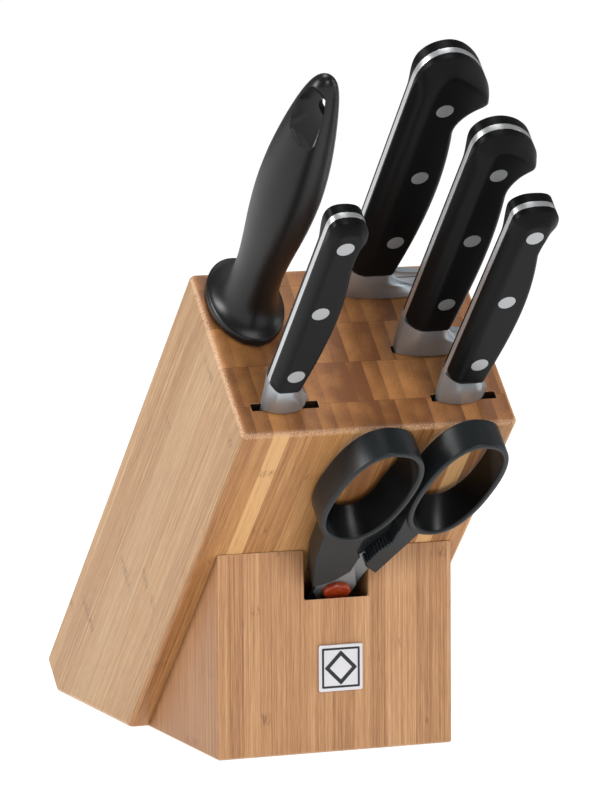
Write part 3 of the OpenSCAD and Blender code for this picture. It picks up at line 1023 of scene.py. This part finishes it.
def draw_eye(bm):
    """Drop-shaped cutter through the grip's end, wider towards both sides."""
    drop = rounded([(-9.2, 100.5, 1.0), (2.5, 107.5, 5), (6.0, 116, 5), (4.4, 127.5, 4),
                    (-4.6, 128, 4), (-7.6, 117, 6)], 12)
    middle = (-2.7, 118)
    rings = []
    for x in (-16, -10, -8, -7, -6, -5, -4, -3, -2.3, -1.7, -1.3, -1, 1, 1.5, 2, 3, 4, 5, 6, 8, 12, 16):
        deep = (max(0, abs(x) - 1) / 6) ** (0.6 if x < 0 else 0.85)
        grow = min(1.1, 0.25 + 0.75 * deep)
        rings.append([along_x(middle[0] + (a - middle[0]) * grow, middle[1] + (b - middle[1]) * grow, x)
                      for a, b in drop])
    skin(bm, rings)


def make_steel():
    grip = mesh_of("grip", draw_grip)
    grip = evaluated(grip, [("SUBSURF", {"levels": 1, "render_levels": 1})])
    eye = mesh_of("eye", draw_eye)
    eye.transform(Matrix.Translation((-2 * MM, 0, 0)) @ Matrix.Rotation(math.radians(EYE_TURN), 4, "Z"))
    opened = combined(grip, [eye], "DIFFERENCE")
    add_piece("steel_grip", resharpened(eased(opened, 0.5, 3, 50), "grip", 60), STEEL_PLACE, "steel",
              ["steel_handle"], STEEL_BLACK, weighted=False)

    def rod(bm):
        """Rod with fine lengthwise ribs and a blunt point."""
        ribs = 60
        rings = []
        for height, radius in ((-ROD_LENGTH, ROD_RADIUS * 0.45), (-ROD_LENGTH + 1, ROD_RADIUS * 0.62),
                               (-ROD_LENGTH + ROD_RADIUS, ROD_RADIUS), (4.2, ROD_RADIUS)):
            rings.append([along_s((radius - 0.12 * (i % 2)) * math.cos(math.pi * i / ribs),
                                  (radius - 0.12 * (i % 2)) * math.sin(math.pi * i / ribs), height)
                          for i in range(2 * ribs)])
        skin(bm, rings)
        slab(bm, circle(0, 0, 4), 4.0, 74, along_s, 0.4)

    add_piece("steel_ribbed_rod", mesh_of("rod", rod), STEEL_PLACE, "steel",
              ["steel_rod"], RIBBED_STEEL)


# ---- shears ----

SHEARS_PLACE = (LEAN @ Matrix.Translation(Vector(PIVOT) * MM)
                @ Matrix.Rotation(math.radians(SHEARS_TILT), 4, "Y"))
LEFT_TANG = ((-9, 30), (-4.5, 30), (2, 14))
RIGHT_TANG = ((-12.4, 27), (-8.5, 25), (-1.5, 18), (-1, 13))
BLADE_LONG = 72
CAP_SQUASH = 0.8
# painted shade: a thin black web behind the toothed opening stands in for the shade seen through it
TOOTH_SHADE_WEB = [(9.5, 41), (9.9, 32.5), (6.4, 25.5), (5, 18.7), (0.5, 19), (0.5, 23), (-2.8, 27.8),
             (-2.8, 33.6), (0.4, 38.5), (6, 40)]
SHADE_WEB_DEPTHS = (1, 2.9)
TOOTH_PITCH = 1.5
TOOTH_DEPTH = 0.75
LEFT_SHANK_DEPTHS = (-4.5, 4.5)
RIGHT_SHANK_DEPTHS = (-4.5, 3)


def blade_outline(tang, mirrored):
    points = [(-9.5, 6), *tang, (7.5, 3), (7, -6), (4, -0.6 * BLADE_LONG), (1.2, -BLADE_LONG + 2),
              (-0.5, -BLADE_LONG), (-2.4, -0.9 * BLADE_LONG), (-3.6, -0.4 * BLADE_LONG),
              (-4.5, -8), (-9, -2)]
    return [(-x, y) for x, y in points] if mirrored else points


def loop_ring(bm, cx, cy, rx, ry, turn, lows, sides):
    """Finger loop: a deep band with rounded rims about a squared-off ellipse."""
    steps, power = 80, 0.84
    spin = Matrix.Rotation(math.radians(turn), 2)

    def at(grow, i):
        angle = 2 * math.pi * i / steps
        c, s = math.cos(angle), math.sin(angle)
        return spin @ Vector(((rx + grow) * math.copysign(abs(c) ** power, c),
                              (ry + grow) * math.copysign(abs(s) ** power, s)))

    half, rim = LOOP_HALF_DEPTH, 0.85
    section = []
    for start, a, b in ((180, rim, -half + rim), (270, LOOP_WALL - rim, -half + rim),
                        (0, LOOP_WALL - rim, half - rim), (90, rim, half - rim)):
        for k in range(5):
            angle = math.radians(start + 22.5 * k)
            section.append((a + rim * math.cos(angle), b + rim * math.sin(angle)))
    # the inside leans in towards the back, most of all at the bottom
    section += [(0.0, half * share) for share in (0.5, 0.0, -0.5)]
    rows = []
    for i in range(steps):
        row = []
        for grow, depth in section:
            p = at(grow, i)
            inward = max(0, 1 - grow / (LOOP_WALL * 0.5)) * ((depth + half) / (2 * half)) ** 1.3
            turn_here = 2 * math.pi * i / steps
            low_share = max(0, -math.sin(turn_here))
            side_share = max(0, math.cos(turn_here))
            p -= p.normalized() * inward * (1.0 + lows * low_share ** 1.5 + sides * side_share ** 2)
            row.append(bm.verts.new(along_q(cx + p.x, cy + p.y, depth)))
        rows.append(row)
    for first, second in zip(rows, rows[1:] + rows[:1]):
        join(bm, first, second)


def toothed(path):
    """The path with small teeth that stand out to its right."""
    points = []
    for a, b in zip(path, path[1:]):
        a, b = Vector(a), Vector(b)
        along = (b - a).normalized()
        out = Vector((along.y, -along.x))
        count = max(1, round((b - a).length / TOOTH_PITCH))
        for i in range(count):
            points.append(tuple(a.lerp(b, i / count)))
            points.append(tuple(a.lerp(b, (i + 0.5) / count) + out * TOOTH_DEPTH))
    return points + [tuple(path[-1])]


def make_shears():
    left_shank = ([(-8, 36.6), (-15, 35), (-21.5, 37), (-18.7, 21), (-12.4, 4), (-9.5, 4.8), (-4.3, 8.7),
                   (-0.5, 14)] + toothed([(-0.5, 21.7), (-3.9, 27), (-3.9, 34), (-1, 38)]))
    right_shank = ([(4.7, 17), (10.4, 13.4), (18, 38.5), (22, 40.5), (14.5, 43.8), (10.5, 47.5),
                    (7.4, 52)] + toothed([(8.9, 39.2), (9.3, 32.5), (5.8, 26), (4, 18.7)]))
    for side, ring, shank, depths, body in (
            ("left", LEFT_RING, left_shank, LEFT_SHANK_DEPTHS, "shears"),
            ("right", RIGHT_RING, right_shank, RIGHT_SHANK_DEPTHS, "shears_right_half")):
        band = mesh_of("band", lambda bm: loop_ring(bm, *ring))
        grip = mesh_of("shank", lambda bm: slab(bm, shank, *depths, rim=0.5))
        # the right grip is joined to the thin black web that stands in for the shade in the toothed
        # opening
        shade_webs = [mesh_of("shade_web", lambda bm: slab(bm, TOOTH_SHADE_WEB, *SHADE_WEB_DEPTHS, rim=0.2))]
        joined = combined(band, [grip] + (shade_webs if side == "right" else []), "UNION")
        add_piece(f"shears_{side}_grip", resharpened(joined, "grip", 45), SHEARS_PLACE, body,
                  [f"shears_{side}_handle"], SHEARS_BLACK)
    for side, tang, depths, body in (
            ("left", LEFT_TANG, (-BLADE_BACK, -BLADE_GAP), "shears"),
            ("right", RIGHT_TANG, (BLADE_GAP, BLADE_BACK), "shears_right_half")):
        outline = blade_outline(tang, side == "right")
        mesh = mesh_of("blade", lambda bm: slab(bm, outline, *depths, rim=0.35))
        add_piece(f"shears_{side}_steel_blade", mesh, SHEARS_PLACE, body,
                  [f"shears_{side}_blade"], SHEARS_STEEL)

    def pivot(bm):
        back = BLADE_BACK + 2 * BLADE_GAP
        lathe(bm, [(0, -BLADE_BACK), (2.5, -BLADE_BACK), (2.5, back), (4.7, back), (5, back + 0.3),
                   (5, back + 1), (4.5, back + 1.5), (0, back + 1.5)])

    def cap(bm):
        front = -BLADE_BACK
        lathe(bm, [(0, front - 1.3), (0.7, front - 1.35), (1.1, front - 1.6), (1.4, front - 1.65),
                   (4.1, front - 1.55), (4.5, front - 1.9), (5.1, front - 1.9), (5.6, front - 1.5),
                   (5.8, front - 0.8), (5.8, front), (0, front)])
        bmesh.ops.scale(bm, vec=(1, 1, CAP_SQUASH), verts=bm.verts)

    add_piece("shears_pivot_rivet", mesh_of("pivot", pivot), SHEARS_PLACE, "shears",
              ["shears_pivot"], RIVET_STEEL)
    add_piece("shears_orange_cap", mesh_of("cap", cap, 50), SHEARS_PLACE, "shears",
              ["shears_cap"], CAP_ORANGE)


# ---- surroundings ----

# turned right, pitched down and rolled, in degrees, with a long lens
CAMERA_ANGLES = (21.5293, 6.8303, -0.3487)
CAMERA_PLACE = (-0.6970, -1.8174, 0.3593)
CAMERA_LENS = 224.97
# name, place, size and power of each light
LIGHTS = (("key", (-1.6, 0.1, 0.8), (0.5, 0.9), 27),
          ("front", (0.1, -2.0, 1.2), (0.8, 0.6), 20),
          ("top", (0.1, 0.2, 1.8), (0.7, 0.7), 14),
          ("right", (1.6, -0.3, 0.7), (0.4, 1.0), 5))
LIGHT_TARGET = (0, -0.05, 0.14)
ROOM_LIGHT = 0.22
FLOOR_HALF = 40
FLOOR_TONE = 0.35
FLOOR_GLOW = 0.93


def make_camera():
    yaw, pitch, roll = (math.radians(a) for a in CAMERA_ANGLES)
    forward = Vector((math.sin(yaw) * math.cos(pitch), math.cos(yaw) * math.cos(pitch),
                      -math.sin(pitch)))
    right = Vector((math.cos(yaw), -math.sin(yaw), 0))
    up = right.cross(forward)
    tilted_right = math.cos(roll) * right + math.sin(roll) * up
    tilted_up = -math.sin(roll) * right + math.cos(roll) * up
    camera = bpy.data.cameras.new("camera")
    camera.lens = CAMERA_LENS
    camera.clip_end = 200
    holder = new_object("camera", camera)
    turned = Matrix((tilted_right, tilted_up, -forward)).transposed().to_4x4()
    holder.matrix_world = Matrix.Translation(CAMERA_PLACE) @ turned
    bpy.context.scene.camera = holder


def soft_light(name, place, size, power):
    light = bpy.data.lights.new(name, "AREA")
    light.shape = "RECTANGLE"
    light.size, light.size_y = size
    light.energy = power
    holder = new_object(name, light)
    holder.location = place
    towards = Vector(LIGHT_TARGET) - Vector(place)
    holder.rotation_euler = towards.to_track_quat("-Z", "Y").to_euler()


def make_floor():
    """A plain pale floor, large enough to fill the view."""
    bm = bmesh.new()
    bmesh.ops.create_grid(bm, x_segments=8, y_segments=8, size=FLOOR_HALF)
    mesh = bpy.data.meshes.new("floor")
    bm.to_mesh(mesh)
    bm.free()
    floor = new_object("floor", mesh)
    floor.location = (0, 0, -0.0002)
    material = bpy.data.materials.new("pale_floor")
    material.use_nodes = True
    shader = material.node_tree.nodes["Principled BSDF"]
    for key, value in (("Base Color", (*(FLOOR_TONE,) * 3, 1)), ("Roughness", 0.9),
                       ("Specular IOR Level", 0.0), ("Emission Color", (1, 1, 1, 1)),
                       ("Emission Strength", FLOOR_GLOW)):
        shader.inputs[key].default_value = value
    mesh.materials.append(material)


def make_world():
    world = bpy.data.worlds.new("white room")
    world.use_nodes = True
    background = world.node_tree.nodes["Background"]
    background.inputs["Color"].default_value = (1, 1, 1, 1)
    background.inputs["Strength"].default_value = ROOM_LIGHT
    bpy.context.scene.world = world


make_camera()
make_world()
make_floor()
for light in LIGHTS:
    soft_light(*light)
bpy.context.scene.view_settings.view_transform = "Standard"

make_body()
make_plinth()
make_badge()
for knife in KNIVES:
    make_knife(knife)
make_steel()
make_shears()
